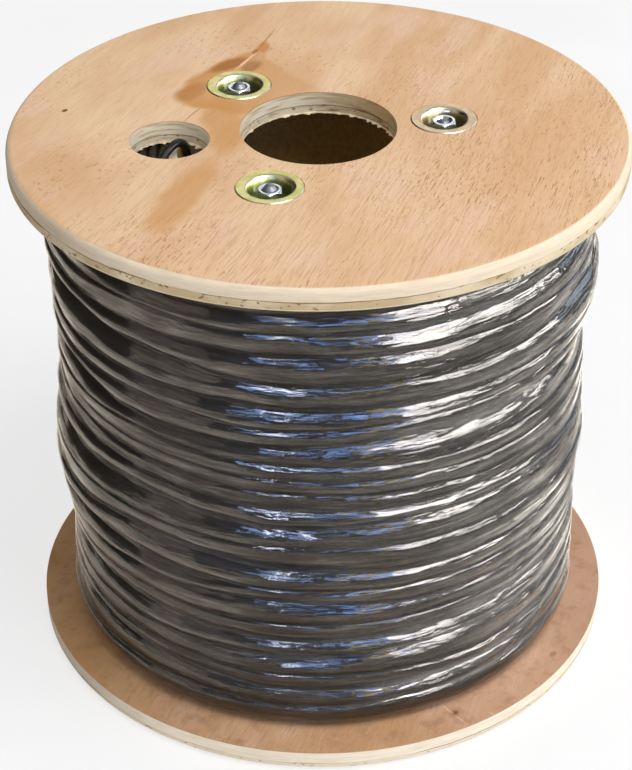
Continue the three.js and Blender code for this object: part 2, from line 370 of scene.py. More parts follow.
def stain_reach(f, place):
    """How far out a point lies in the stain: 0 at its middle, 1 on its outline, a curve by bearing."""
    middle_x, middle_y = STAIN_MIDDLE
    sides = [(math.atan2(y - middle_y, x - middle_x) / TURN % 1, math.hypot(x - middle_x, y - middle_y))
             for x, y in STAIN_OUTLINE]
    outline = f.node("FloatCurve")
    curve = outline.mapping.curves[0]
    wrapped = sides[0][1] if sides[0][0] == 0 else (min(sides)[1] + max(sides)[1]) / 2
    curve.points[0].location = (0, wrapped / STAIN_REACH)
    curve.points[1].location = (1, wrapped / STAIN_REACH)
    for bearing, radius in sides:
        curve.points.new(bearing, radius / STAIN_REACH)
    outline.mapping.update()
    local = f.mapped(place, centre=(-middle_x * MM, -middle_y * MM, 0))
    east, north = f.axis(local, "X"), f.axis(local, "Y")
    bearing = f.math("FRACT", f.math("DIVIDE", f.math("ARCTAN2", north, east), TURN))
    f.feed(outline.inputs["Value"], bearing)
    return f.math("DIVIDE", f.math("DIVIDE", f.radius(local), STAIN_REACH * MM), outline.outputs[0])


def marked_with(f, place, tone, marks, ragged):
    """Adds soft-edged marks from a list, their outlines ragged by this much."""
    around_marks = f.wandering(place, 300.0, ragged)
    for (x, y), half_length, half_width, degrees, strength, colour in marks:
        mark = f.ellipse(around_marks, (x * MM, y * MM, 0), half_length * MM, half_width * MM, degrees)
        tone = f.blend(f.ramp(mark, 1.2, 0.5, 0, strength), tone, colour)
    return tone


def stained(f, place, tone):
    """The flame-shaped stain above one rod, the band that runs on from it, and the marks round its knot."""
    warped = f.wandering(place, 70.0, 0.008)
    reach = stain_reach(f, warped)
    edge = f.math("MULTIPLY", f.ramp(reach, 1.07, 0.88), f.ramp(reach, 0.3, 0.9, 0.75, 1.0))
    lee = f.ramp(f.axis(place, "X"), -0.06, -0.01, 0.95, 0.35)
    tone = f.blend(f.math("MULTIPLY", edge, lee), tone, STAIN_BROWN)
    loose = f.wandering(place, 30.0, 0.02)
    band = f.math("MINIMUM", f.ellipse(loose, (-0.054, 0.004, 0), 0.044, 0.013, 94),
                  f.ellipse(loose, (-0.073, -0.080, 0), 0.054, 0.014, 71))
    tone = f.blend(f.ramp(band, 1.1, 0.5, 0, 0.68), tone, STAIN_BROWN)
    return marked_with(f, place, tone, KNOT_MARKS, 0.0015)


# Scratches and knots on the lower flange, in the same way.
FLANGE_MARKS = [
    ((77.4, -145.7), 14.3, 0.6, -51.5, 0.6, rgb(226, 198, 168)),
    ((100.9, -146.3), 2.9, 0.6, -48.4, 0.6, rgb(226, 198, 168)),
    ((78, -145), 4.5, 3.2, 60, 0.5, rgb(150, 104, 72)),
    ((78.5, -144.5), 2.2, 1.5, 60, 0.7, rgb(112, 72, 48)),
    ((141, -92), 3.5, 2, 50, 0.5, rgb(140, 96, 68)),
]


def scuffed_with_painted_shade(f, place, tone):
    """The lower flange's face: browner towards -X, a painted shade of the side that the drum shades, pinker
    and duller towards +X, and scratched.
    """
    east = f.axis(f.wandering(place, 25.0, 0.04), "X")
    # Painted shade: browner and darker towards -X, where the drum shades the flange.
    tone = f.blend(f.ramp(east, -0.17, -0.03, 0.35, 0.0), tone, rgb(184, 136, 78))
    tone = f.blend(f.ramp(east, 0.03, 0.12, 0.0, 0.5), tone, rgb(210, 170, 148))
    tone = f.blend(f.ramp(east, 0.12, 0.17, 0.0, 0.4), tone, rgb(172, 138, 116))
    smudges = f.noise(place, 70.0, 4.0, 0.65)
    tone = f.blend(f.ramp(smudges, 0.48, 0.72, 0, 0.45), tone, rgb(150, 112, 84))
    return marked_with(f, place, tone, FLANGE_MARKS, 0.0012)


def plywood(name, upper_side, light, shade, pink, cream_tone, core_tone, marked):
    """Plywood whose plies lie at their depth from the flange's upper side, so its edges show them."""
    f = Finish(name)
    place = f.place()
    sawn = f.ramp(f.radius(place), 0.12, 0.16, 1.0, 0.0)  # 1 in the holes and 0 at the rim
    depth = f.math("SUBTRACT", upper_side, f.axis(place, "Z"))
    tone, dashes = veneer_colour(f, place, light, shade, pink)
    tone = marked(f, place, tone)
    fibres = f.noise(f.mapped(place, (60, 60, 900)), 1.0, 3.0)
    cream = f.blend(f.ramp(fibres, 0.35, 0.75, 0, 0.5), cream_tone, rgb(222, 203, 176))
    rightward = f.axis(place, "X")
    # Painted shade: the sawn plies turn from cream to tan towards +X, on the hole walls that face away from
    # the light.
    sawn_with_painted_shade = f.blend(f.ramp(rightward, -0.02, 0.04), SAWN_CREAM, SAWN_SHADED_TAN)
    cream = f.blend(sawn, cream, f.blend(f.ramp(fibres, 0.45, 0.68), sawn_with_painted_shade, SAWN_STREAK))
    patch = f.noise(f.mapped(place, (32, 32, 60)), 1.0, 3.0)
    core = f.blend(f.ramp(patch, 0.38, 0.6), rgb(238, 221, 190), core_tone)
    smears = f.noise(f.mapped(place, (90, 90, 420)), 1.0, 4.0, 0.6)
    dirt = f.math("MULTIPLY", sawn, f.ramp(smears, 0.46, 0.68, 0, 0.9))
    core = f.blend(f.math("MULTIPLY", sawn, 0.5), core, sawn_with_painted_shade)
    # The dirt is weighted towards +X, so it also paints shade on the hole walls there, which face away from
    # the light.
    core = f.blend(f.math("MULTIPLY", dirt, f.ramp(rightward, -0.03, 0.03, 0.5, 1.0)), core, SAWN_DIRT_AND_SHADE)
    cream = f.blend(f.math("MULTIPLY", dirt, f.ramp(rightward, -0.015, 0.03, 0.0, 0.6)), cream, SAWN_DIRT_AND_SHADE)
    pits = f.noise(f.mapped(place, (240, 240, 420)), 1.0, 2.0)
    core = f.blend(f.ramp(pits, 0.62, 0.69, 0, 0.8), core, rgb(128, 98, 60))
    glued = f.ramp(f.noise(place, 17.0, 2.0), 0.46, 0.6, 0.1, 0.8)
    glued = f.math("MAXIMUM", glued, f.math("MULTIPLY", sawn, 0.7))
    glue = f.blend(glued, core, GLUE_BROWN)
    jag = f.math("MULTIPLY", f.math("SUBTRACT", f.noise(place, 110.0, 3.0), 0.5), 1.1 * MM)
    level = f.math("ADD", depth, jag)

    def below(limit, first, second, soft=0.12 * MM):
        return f.blend(f.ramp(level, limit - soft, limit + soft), first, second)

    plies = below(CREAM_PLY, cream, glue)
    plies = below(CREAM_PLY + GLUE_LINE, plies, core)
    plies = below(CORE_PLY, plies, LAST_VENEER)
    # Painted shade: the plies darken and brown towards -X, on the side of the rims away from the light.
    rim_painted_shade = f.ramp(f.axis(f.wandering(place, 40.0, 0.04), "X"), -0.15, -0.09, 0.4, 0.0)
    plies = f.blend(rim_painted_shade, plies, rgb(122, 100, 74))
    whole = f.blend(f.ramp(depth, FACE_VENEER * 0.6, FACE_VENEER * 1.4), tone, plies)
    under = f.ramp(depth, PLY_THICKNESS - 0.12 * MM, PLY_THICKNESS - 0.04 * MM)
    whole = f.blend(under, whole, tone)
    grain = f.noise(f.mapped(f.mapped(place, turn=-math.radians(GRAIN)), (60, 1400, 60)), 1.0, 3.0)
    relief = f.math("SUBTRACT", grain, f.math("MULTIPLY", dashes, 0.8))
    f.surface(base_color=whole, roughness=f.ramp(f.noise(place, 60.0), 0.3, 0.7, 0.48, 0.62),
              specular_ior_level=0.0, normal=f.bump(relief, 0.12 * MM, 0.5))
    return f.material


def plywoods():
    """The upper flange's plywood and the lower one's."""
    upper = plywood("plywood_upper", DRUM_TOP, rgb(235, 203, 167), rgb(219, 178, 138), rgb(233, 199, 172),
                    CREAM, rgb(212, 188, 150), stained)
    lower = plywood("plywood_lower", LOWER_INNER, rgb(211, 173, 135), rgb(190, 148, 109), rgb(213, 175, 149),
                    rgb(252, 240, 222), rgb(240, 226, 204), scuffed_with_painted_shade)
    return upper, lower


def hole_cutter(name, centre, radius, inner_face, out, sides, seed):
    """What a hole saw takes out: it tears the last veneer, so the cutter's far end is ragged there."""
    past = 3 * MM  # how far the cutter reaches beyond both faces
    torn = CORE_PLY - PLY_THICKNESS
    heights = [out * (PLY_THICKNESS + past), -1.5 * out * torn, -out * torn, -0.5 * out * torn, 0.0,
               -out * past]
    piece = added(name, "primitive_circle_add", vertices=sides, radius=radius,
                  location=(0, 0, heights[0]))
    with edit_mode(piece):
        bpy.ops.mesh.edge_face_add()
        for height, following in zip(heights, heights[1:]):
            bpy.ops.mesh.extrude_region_move(TRANSFORM_OT_translate={"value": (0, 0, following - height)})
        bpy.ops.mesh.select_all(action="SELECT")
        bpy.ops.mesh.normals_make_consistent(inside=False)
    for vertex in piece.data.vertices:
        co = vertex.co
        if out * co.z < 0.99 * abs(torn) and co.xy.length > radius / 2:
            angle = math.atan2(co.y, co.x)
            tooth = 2.1 * MM
            tear = max(0, ripple(radius * math.cos(angle) / tooth, radius * math.sin(angle) / tooth, seed))
            swing = 0.7 + 0.6 * ripple(2 * math.cos(angle), 2 * math.sin(angle), seed + 9)
            share = ease(-out * co.z, -abs(torn), -0.3 * abs(torn))
            co.xy *= 1 - share * (0.3 + 5.5 * tear * swing) * MM / radius
    with edit_mode(piece):
        bpy.ops.transform.translate(value=(centre[0], centre[1], inner_face))
    return piece


def flange_blank(name, outer_face, inner_face):
    """A disc with its outer edge rounded and its inner edge eased."""
    out = 1 if outer_face > inner_face else -1
    piece = added(name, "primitive_cylinder_add", vertices=288, radius=FLANGE_RADIUS, depth=PLY_THICKNESS,
                  location=(0, 0, (outer_face + inner_face) / 2))
    with edit_mode(piece):
        pick("EDGE", lambda at: at.xy.length > 0.99 * FLANGE_RADIUS and abs(at.z - outer_face) < 1e-6)
        bpy.ops.mesh.bevel(offset=EDGE_RADIUS, segments=7, profile=0.5)
        pick("EDGE", lambda at: at.xy.length > 0.99 * FLANGE_RADIUS and abs(at.z - inner_face) < 1e-6)
        bpy.ops.mesh.bevel(offset=0.35 * MM, segments=2, profile=0.5)
    return piece, out


def ply_gap(name, height, start, stop, depth, opening):
    """A gap where a ply has come unstuck at the rim: a thin wedge swept round part of it."""
    middle = math.radians((start + stop) / 2)
    piece = added(name, "primitive_plane_add", size=1, location=(0, 0, 0), rotation=(math.pi / 2, 0, 0))
    with edit_mode(piece):
        bpy.ops.transform.resize(value=(2 * depth, 1, opening))
        bpy.ops.transform.translate(value=(FLANGE_RADIUS, 0, height))
        bpy.ops.transform.rotate(value=-math.radians(start), orient_axis="Z", center_override=(0, 0, 0))
        bpy.ops.mesh.spin(steps=24, angle=-math.radians(stop - start), center=(0, 0, 0), axis=(0, 0, 1))
        bpy.ops.mesh.select_all(action="SELECT")
        bpy.ops.mesh.remove_doubles(threshold=1e-7)
        bpy.ops.mesh.normals_make_consistent(inside=False)
    half = math.radians(stop - start) / 2
    for vertex in piece.data.vertices:
        angle = math.atan2(vertex.co.y, vertex.co.x) - middle
        angle = (angle + math.pi) % TURN - math.pi
        thin = 1 - 0.9 * (abs(angle) / half) ** 3
        vertex.co.z = height + (vertex.co.z - height) * thin + 0.25 * MM * ripple(angle * 30, height * 900)
        vertex.co.xy *= 1 + (1 - thin) * 0.6 * depth / FLANGE_RADIUS
    return piece


WASHER_SHEET = 1.2 * MM
WASHER_RADIUS = 19 * MM
SEAT_GAP = 0.3 * MM
ROD_HOLE_RADIUS = 4.3 * MM
CUP_DEPTH = 8.1 * MM
CUP_SEAT_RADIUS = 15.4 * MM
UPPER_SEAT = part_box("cup_washer_top_1")[1].z - WASHER_SHEET  # the back of a washer's rim
LOWER_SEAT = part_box("cup_washer_bottom_1")[0].z + WASHER_SHEET


def cut_rod_seats(piece, seat, out):
    """At each rod a rebate for the washer's rim, a counterbore for its cup and a hole for the rod."""
    past = 6 * MM
    rim_floor = seat - out * SEAT_GAP
    for place in RODS:
        for name, radius, floor, sides in (("rebate", WASHER_RADIUS + SEAT_GAP, rim_floor, 96),
                                           ("pocket", CUP_SEAT_RADIUS, rim_floor - out * CUP_DEPTH, 72),
                                           ("bore", ROD_HOLE_RADIUS, rim_floor - out * 30 * MM, 32)):
            mouth = rim_floor + out * past
            post = added(name, "primitive_cylinder_add", vertices=sides, radius=radius,
                         depth=abs(mouth - floor), location=(place.x, place.y, (mouth + floor) / 2))
            combined(piece, post, "DIFFERENCE")


# Gaps between the plies at the upper rim: height, first and last angle from +X, and depth.
RIM_GAPS = ((320.6, -103, -79, 1.6), (320.9, -128, -119, 1.2), (321.0, -168, -142, 1.0))
GAP_OPENING = 0.75 * MM


def flange_top(finish):
    piece, out = flange_blank("drum_flange_top", DRUM_TOP, UPPER_INNER)
    for cutter in (hole_cutter("arbor_cutter", (0, 0), ARBOR_RADIUS, UPPER_INNER, out, 200, 1.5),
                   hole_cutter("start_cutter", START_HOLE, START_HOLE_RADIUS, UPPER_INNER, out, 128, 4.5)):
        combined(piece, cutter, "DIFFERENCE")
    cut_rod_seats(piece, UPPER_SEAT, out)
    for height, first, last, depth in RIM_GAPS:
        combined(piece, ply_gap("gap", height * MM, first, last, depth * MM, GAP_OPENING), "DIFFERENCE")
    return dress(smoothed(piece, 35), finish, "plywood", "flange_top")


def flange_bottom(finish):
    piece, out = flange_blank("drum_flange_bottom", 0, LOWER_INNER)
    arbor = hole_cutter("arbor_cutter", (0, 0), ARBOR_RADIUS, LOWER_INNER, out, 200, 7.5)
    combined(piece, arbor, "DIFFERENCE")
    cut_rod_seats(piece, LOWER_SEAT, out)
    return dress(smoothed(piece, 35), finish, "plywood", "flange_bottom")


# ---------- wound cable and film ----------
STATIONS = (-62, -43, -8, 20, 42, 62)  # degrees round from the drum's front, positive to the right
# For each turn of the last layer, from the top: the height of the groove above it and the breadth of
# the shoulder where film slants from that groove out to the turn's crown, both at the stations, and how
# far its crown stands proud at the left and at the right. Millimetres.
TURNS = [
    ((315, 315, 315, 315, 315, 315), (1, 1, 1, 1, 1, 1), (0, 0)),
    ((300, 300, 299, 301, 299, 296), (2, 8, 5, 7, 6, 3), (0.5, 0)),
    ((289, 290, 288, 289, 288, 289), (3, 2, 3, 11, 9, 9), (1, 0.5)),
    ((277, 275, 275, 275, 274, 273), (4, 5, 7, 7, 3, 2), (1.5, 1.5)),
    ((266, 262, 257, 257, 258, 264), (12, 11, 6, 3, 6, 12), (0, 5)),
    ((242, 242, 241, 241, 241, 240), (4, 6, 10, 7, 4, 2), (-0.5, 3)),
    ((229, 229, 227, 230, 229, 228), (3, 6, 5, 4, 3, 3), (-0.5, -0.5)),
    ((220, 213, 214, 218, 214, 216), (11, 6, 6, 13, 11, 7), (-2, -4)),
    ((204, 206, 203, 200, 199, 200), (2, 2, 4, 3, 2, 2), (-1.7, -1.5)),
    ((195, 194, 193, 191, 190, 189), (1, 1, 2, 4, 2, 2), (-3, -0.7)),
    ((187, 186, 184, 181, 178, 177), (2, 4, 2, 4, 2, 2), (-2.5, -1.5)),
    ((178, 176, 175, 171, 173, 168), (6, 2, 7, 5, 4, 3), (0.5, 0.4)),
    ((164, 166, 162, 165, 164, 162), (12, 13, 9, 7, 4, 7), (2, 0.5)),
    ((148, 150, 150, 148, 147, 143), (1.5, 1.5, 2, 5, 5, 3), (3, 2)),
    ((133, 140, 134, 129, 127, 130), (5, 7, 10, 5, 3, 3), (4, -0.5)),
    ((121, 120, 118, 117, 115, 111), (9, 8, 3, 3, 3, 3), (2, -1)),
    ((104, 107, 109, 104, 102, 100), (4, 7, 9, 5, 3, 2), (-0.5, -2)),
    ((91, 92, 91, 92, 92, 92), (1.5, 1.5, 2.5, 2.5, 2, 2), (-2, -2.3)),
    ((80, 80, 79, 80, 82, 84), (9, 9, 6, 10, 9, 5), (-3.5, -1.2)),
    ((66, 66, 67, 70, 72, 66), (2, 2, 8, 8, 5, 3), (-3, -1)),
    ((55, 55, 54, 53, 52, 56), (2, 3, 2, 2, 3, 6), (-2.5, -1)),
    ((48, 48, 43, 43, 43, 47), (8, 8, 5, 9, 6, 3), (-2, -1)),
    ((32, 33, 31, 33, 33, 33), (3, 4, 4, 4, 5, 3), (-1, -0.5)),
]
FILM_RADIUS = 159.3 * MM
FOOT_RADIUS = 152.2 * MM  # the last turn curls in to the lower flange
SHOULDER_SLOPE = 0.45  # rise of a shoulder for each millimetre of its breadth, at the front and back
SIDE_SLOPE = 0.6  # the same at the sides
SHOULDER = 0.4  # share of a turn's rows that lie on its shoulder
BULGE = 0.32 * MM  # how far long swells, and shorter ones, move the film in and out
SHORT_BULGE = 0.16 * MM
ROWS = (0, 0.13, 0.26, 0.36, 0.44, 0.56, 0.7, 0.84, 0.94)  # where a turn's rows lie, from its groove down
COLUMNS = 240
FILM_THICKNESS = 0.25 * MM
CABLE_BELOW_FILM = 0.7 * MM
GROOVE_DEPTH = 1.6 * MM  # between two turns, below that
WEB_DEPTH = 0.7 * MM  # of the line between the cable's two legs
# The film's finish uses the attribute below to paint shade, dimming its reflection over the grooves.
PAINTED_GROOVE_SHADE = "painted_groove_shade"  # the film's attribute: 1 where it hangs free over a groove, 0 where it lies on the cable


def at_station(values, bearing):
    """One of a turn's sizes at a bearing in degrees, eased from station to station and round the back."""
    angles = [*STATIONS, STATIONS[0] + 360]
    bearing = (bearing - STATIONS[0]) % 360 + STATIONS[0]
    index = max(i for i, angle in enumerate(angles[:-1]) if angle <= bearing)
    share = ease(bearing, angles[index], angles[index + 1])
    return values[index] * (1 - share) + values[(index + 1) % len(values)] * share


def turn_sizes(turn, angle):
    """Groove height, shoulder breadth, crown radius and groove radius of a turn at an angle."""
    if turn == len(TURNS):
        return LOWER_INNER + 0.3 * MM, MM, FOOT_RADIUS, FOOT_RADIUS
    heights, breadths, (left, right) = TURNS[turn]
    bearing = math.degrees(angle) + 90
    groove = at_station(heights, bearing) + 0.9 * ripple(angle * 3.7, turn * 3.3)
    breadth = at_station(breadths, bearing) * (1 + 0.3 * ripple(angle * 6.1, turn * 5.9))
    across = 0.5 + 0.5 * math.sin(math.radians(bearing))
    proud = left * (1 - across) + right * across + 0.5 * ripple(angle * 2.3, turn * 1.7)
    crown = FILM_RADIUS + proud * MM
    if turn == 0:
        groove = UPPER_INNER / MM - 0.3
    return groove * MM, breadth * MM, crown, crown - shoulder_slope(angle) * breadth * MM


def shoulder_slope(angle):
    return SHOULDER_SLOPE + (SIDE_SLOPE - SHOULDER_SLOPE) * math.cos(angle) ** 2


def film_point(angle, turn, row):
    """Radius and height of the film over a turn. Row runs from 0 at its groove to 1 at the next."""
    top, breadth, crown, _ = turn_sizes(turn, angle)
    bottom, _, _, next_groove = turn_sizes(turn + 1, angle)
    breadth = min(breadth, 0.8 * (top - bottom))
    if row < SHOULDER:
        share = row / SHOULDER
        height = top - breadth * share
        radius = crown - shoulder_slope(angle) * breadth * (1 - share) ** 1.25
    else:
        share = (row - SHOULDER) / (1 - SHOULDER)
        height = top - breadth - (top - breadth - bottom) * share
        radius = crown - (crown - next_groove) * share ** 3
    radius += BULGE * ripple(angle * 9, height / (7 * MM), 4)
    radius += SHORT_BULGE * ripple(angle * 13, height / (3 * MM), 8)
    return radius, height


def wound_rows():
    """Every row over the last layer from the top down, as (turn, row)."""
    return [(turn, row) for turn in range(len(TURNS)) for row in ROWS] + [(len(TURNS) - 1, 1.0)]


def winding(finish):
    """The wound cable: its last layer's turns under the film, and every layer's turns on its ends."""
    inner = BARREL_RADIUS + 0.4 * MM
    half = CABLE_THICKNESS / 2
    bottom, top = LOWER_INNER + 0.4 * MM, UPPER_INNER - 0.4 * MM
    rows = wound_rows()[::-1]
    layers = range(CABLE_LAYERS - 1)
    floor = [point for layer in layers[:-1] for point in
             arc(inner + (2 * layer + 1) * half, bottom + half, half, 185, 355, 4)]
    ceiling = [point for layer in reversed(layers) for point in
               arc(inner + (2 * layer + 1) * half, top - half, half, 5, 175, 4)]
    step = (top - bottom) / (len(rows) + 1)
    side = [(FILM_RADIUS, bottom + step * (index + 1)) for index in range(len(rows))]
    piece = turned("wound_cable", floor + side + ceiling, COLUMNS)
    for vertex in piece.data.vertices:
        if vertex.co.xy.length > FILM_RADIUS - 0.5 * MM:
            turn, row = rows[round((vertex.co.z - bottom) / step) - 1]
            angle = math.atan2(vertex.co.y, vertex.co.x)
            radius, height = film_point(angle, turn, row)
            foot = (turn, row) == (len(TURNS) - 1, 1.0)
            groove = 0 if foot else math.exp(-((min(row, 1 - row) / 0.12) ** 2))
            web = math.exp(-(((row - 0.62) / 0.06) ** 2))
            radius -= CABLE_BELOW_FILM + GROOVE_DEPTH * groove + WEB_DEPTH * web
            height = min(top - 0.2 * MM, max(bottom + 0.2 * MM, height))
            vertex.co = (radius * math.cos(angle), radius * math.sin(angle), height)
    return dress(smoothed(piece, 50), finish, "cable_jacket", "cable_winding")


def film(finish):
    """Stretch film drawn over the last layer, tight from turn to turn."""
    rows = wound_rows()[::-1]
    last = len(rows) - 1
    piece = added("stretch_film_wrap", "primitive_cylinder_add", vertices=COLUMNS, radius=FILM_RADIUS,
                  depth=last, end_fill_type="NOTHING", location=(0, 0, last / 2))
    with edit_mode(piece):
        pick("EDGE", lambda at: 0.2 < at.z < last - 0.2)
        bpy.ops.mesh.subdivide_edgering(number_cuts=last - 1, interpolation="LINEAR")
    painted_groove_shade = piece.data.attributes.new(PAINTED_GROOVE_SHADE, "FLOAT", "POINT")
    for index, vertex in enumerate(piece.data.vertices):
        turn, row = rows[min(last, max(0, round(vertex.co.z)))]
        angle = math.atan2(vertex.co.y, vertex.co.x)
        radius, height = film_point(angle, turn, row)
        vertex.co = (radius * math.cos(angle), radius * math.sin(angle), height)
        painted_groove_shade.data[index].value = math.exp(-(((1 - row) / 0.12) ** 2)) + math.exp(-((row / 0.07) ** 2))
    modified(piece, "SOLIDIFY", thickness=FILM_THICKNESS, offset=-1)
    return dress(smoothed(piece, 180), finish, "stretch_film", "stretch_film")


def cable_finish():
    f = Finish("black_pvc_jacket")
    place = f.place()
    scuff = f.noise(f.mapped(place, (40, 40, 260)), 1.0, 3.0)
    tone = f.blend(f.ramp(scuff, 0.4, 0.75, 0, 0.6), rgb(30, 26, 21), rgb(50, 45, 38))
    f.surface(base_color=tone, roughness=f.ramp(scuff, 0.3, 0.7, 0.3, 0.5), specular_ior_level=0.2,
              normal=f.bump(scuff, 0.1 * MM, 0.5))
    return f.material


def facets(f, place, scale, lean, tilt):
    """Long thin creased cells: each one's tilt, a small vector to add to the normal, and its own number."""
    cells = f.node("TexVoronoi", {"Vector": f.mapped(f.wandering(place, 130.0, 0.006), scale, lean=lean),
                                  "Scale": 1.0}).outputs["Color"]
    level = f.node("VectorMath", {0: cells, 1: (0.5, 0.5, 0.5)}, operation="SUBTRACT").outputs[0]
    return f.node("VectorMath", {0: level, 1: tilt}, operation="MULTIPLY").outputs[0], f.axis(cells, "X")


def film_finish():
    """Clear film of several turns: it mirrors at a glance, shows what lies under it, and is faintly milky.
    Its reflection is dimmed over the grooves, a painted shade.
    """
    f = Finish("clear_stretch_film")
    place = f.place()
    puckers = f.noise(f.mapped(place, (16, 16, 130)), 1.0, 2.0)
    strands = f.noise(f.mapped(place, (24, 24, 420), lean=0.25), 1.0, 2.0)
    crinkle = f.noise(f.mapped(place, (70, 70, 900), lean=-0.3), 1.0, 2.0)
    loose = f.ramp(f.axis(place, "X"), -0.11, 0.03, 0.35, 1.0)
    fine = f.math("ADD", f.math("MULTIPLY", strands, 0.62), f.math("MULTIPLY", crinkle, 0.16))
    folds = f.math("ADD", f.math("MULTIPLY", puckers, 0.8), f.math("MULTIPLY", fine, loose))
    long_facets, long_number = facets(f, place, (28, 28, 400), 0.4, (0.10, 0.10, 0.24))
    short_facets, short_number = facets(f, place, (50, 50, 640), -0.6, (0.08, 0.08, 0.16))
    creased = f.node("VectorMath", {0: long_facets, 1: short_facets}, operation="ADD").outputs[0]
    creased = f.node("VectorMath", {0: creased, "Scale": loose}, operation="SCALE").outputs[0]
    normal = f.node("VectorMath", {0: f.bump(folds, MM), 1: creased}, operation="ADD").outputs[0]
    normal = f.node("VectorMath", {0: normal}, operation="NORMALIZE").outputs[0]
    glance = f.node("Fresnel", {"IOR": 1.5, "Normal": normal}).outputs[0]
    layers = f.noise(f.mapped(place, (18, 18, 330), centre=(5, 1, 0)), 1.0, 3.0)
    several = f.math("ADD", f.ramp(layers, 0.3, 0.7, 0.35, 1.15),
                     f.math("MULTIPLY", f.math("ADD", long_number, short_number), 0.3))
    # Painted shade: the reflection is dimmed where the film hangs over a groove, so dark lines run between
    # the turns.
    painted_groove_dimming = f.ramp(f.node("Attribute", attribute_name=PAINTED_GROOVE_SHADE).outputs["Fac"], 0.1, 1.0, 1.0, 0.3)
    mirrored = f.math("MULTIPLY", glance, f.math("MULTIPLY", several, painted_groove_dimming))
    gloss = f.node("BsdfGlossy", {"Color": (1, 0.96, 0.91, 1), "Roughness": 0.025,
                                  "Normal": normal}).outputs[0]
    haze = f.node("BsdfDiffuse", {"Color": rgb(214, 205, 195)}).outputs[0]
    clear = f.node("BsdfTransparent").outputs[0]
    milky = f.node("MixShader", {0: 0.006, 1: clear, 2: haze}).outputs[0]
    coated = f.node("MixShader", {0: mirrored, 1: milky, 2: gloss}).outputs[0]
    inner_face = f.node("NewGeometry").outputs["Backfacing"]
    f.feed(f.out.inputs["Surface"], f.node("MixShader", {0: inner_face, 1: coated, 2: milky}).outputs[0])
    return f.material


# ---------- barrel ----------
def barrel(finish):
    inner = BARREL_RADIUS - BARREL_WALL
    bottom, top = LOWER_INNER + 0.3 * MM, UPPER_INNER - 0.3 * MM
    profile = [(inner, bottom), (BARREL_RADIUS, bottom), (BARREL_RADIUS, top), (inner, top)]
    piece = turned("drum_barrel", profile, 128)
    modified(piece, "BEVEL", width=0.3 * MM, segments=2, angle_limit=math.radians(50))
    return dress(smoothed(piece), finish, "fibre_tube", "barrel")


def fibre_finish():
    """Brown fibreboard, paler where the tube was cut to length."""
    f = Finish("wound_fibreboard")
    place = f.place()
    speckle = f.noise(place, 500.0, 3.0)
    tone = f.blend(f.ramp(speckle, 0.35, 0.7), rgb(184, 150, 82), rgb(164, 130, 66))
    cut = f.ramp(f.axis(place, "Z"), UPPER_INNER - 2.5 * MM, UPPER_INNER - 1.0 * MM)
    f.surface(base_color=f.blend(cut, tone, rgb(214, 202, 180)), roughness=0.9,
              normal=f.bump(speckle, 0.05 * MM, 0.4))
    return f.material


# ---------- inner end of the cable ----------
# The leg's route, in millimetres from the middle of the start hole at the upper flange's inner face.
ROUTE = [(-9.5, -19, -11), (-7.6, -13.6, -1.5), (-3.6, -5.1, 5), (0.4, 0.9, 7.9), (4.4, 6.9, 7.9),
         (7.1, 12.1, 4), (8.4, 15.9, -3), (9.4, 17.9, -13), (9.9, 17.9, -28), (9, 17, -46), (7.5, 16, -60)]


def inner_end(finish):
    """The power leg, split off, that comes out of the winding in the start hole and drops into the barrel."""
    start = Vector((START_HOLE.x, START_HOLE.y, UPPER_INNER))
    points = [start + Vector(point) * MM for point in ROUTE]
    steps = 6
    path = []  # a smooth curve through the route's points
    for index in range(1, len(points) - 1):
        before, here, after = points[index - 1], points[index], points[index + 1]
        beyond = points[min(index + 2, len(points) - 1)]
        for step in range(steps):
            t = step / steps
            path.append(0.5 * ((2 * here) + (after - before) * t
                               + (2 * before - 5 * here + 4 * after - beyond) * t ** 2
                               + (3 * here - before - 3 * after + beyond) * t ** 3))
    path.append(points[-1])
    buried = UPPER_INNER - 1.6 * MM  # below this height, the stretch on the winding's side lies in it
    path = [point for point in path if point.z > buried or point.x > START_HOLE.x]
    bpy.ops.curve.primitive_nurbs_path_add()
    leg = bpy.context.active_object
    leg.name = "cable_inner_leg"
    leg.data.splines.clear()
    spline = leg.data.splines.new("POLY")
    spline.points.add(len(path) - 1)
    for point, place in zip(spline.points, path):
        point.co = (*place, 1)
    leg.data.dimensions = "3D"
    leg.data.bevel_depth = LEG_DIAMETER / 2
    leg.data.bevel_resolution = 5
    leg.data.use_fill_caps = True
    dress(leg, finish, "cable_jacket", "cable_inner_end")
    return leg


# ---------- tie rods, cup washers and nuts ----------
NUT_FLATS = 13 * MM
NUT_HEIGHT = 6.5 * MM
ROD_RADIUS = 4 * MM
THREAD_PITCH = 1.25 * MM
THREAD_BELOW_END = 2.6 * MM  # where the thread begins, under the rod's dome
THREAD_REACH = 14 * MM  # and where it stops, below the rod's end
NUT_SEAT = WASHER_SHEET - CUP_DEPTH + SEAT_GAP


def cup_washer(name):
    """Pressed washer, its rim's outer face at z = WASHER_SHEET and its cup below."""
    mouth, floor, rim = 12.5 * MM, 9.5 * MM, WASHER_RADIUS
    inside = WASHER_SHEET - CUP_DEPTH
    lip = 2.6 * MM
    top = arc(mouth + lip, WASHER_SHEET - lip, lip, 90, 172, 5)
    bowl = [(floor + 1.1 * MM, inside + 1.3 * MM), (floor, inside + 0.35 * MM), (floor - 0.9 * MM, inside)]
    inner = [*top, *bowl, (ROD_HOLE_RADIUS, inside)]
    outer = [(ROD_HOLE_RADIUS, inside - WASHER_SHEET), (floor, inside - WASHER_SHEET),
             (floor + 1.3 * MM, inside - 0.5 * MM), (mouth + 1.2 * MM, -1.6 * MM),
             (mouth + 1.7 * MM, -0.4 * MM), (mouth + 2.6 * MM, 0)]
    rim_edge = [(rim - 0.25 * MM, 0), (rim, 0.25 * MM), (rim, WASHER_SHEET - 0.45 * MM),
                (rim - 0.45 * MM, WASHER_SHEET)]
    return turned(name, outer + rim_edge + inner, 96)


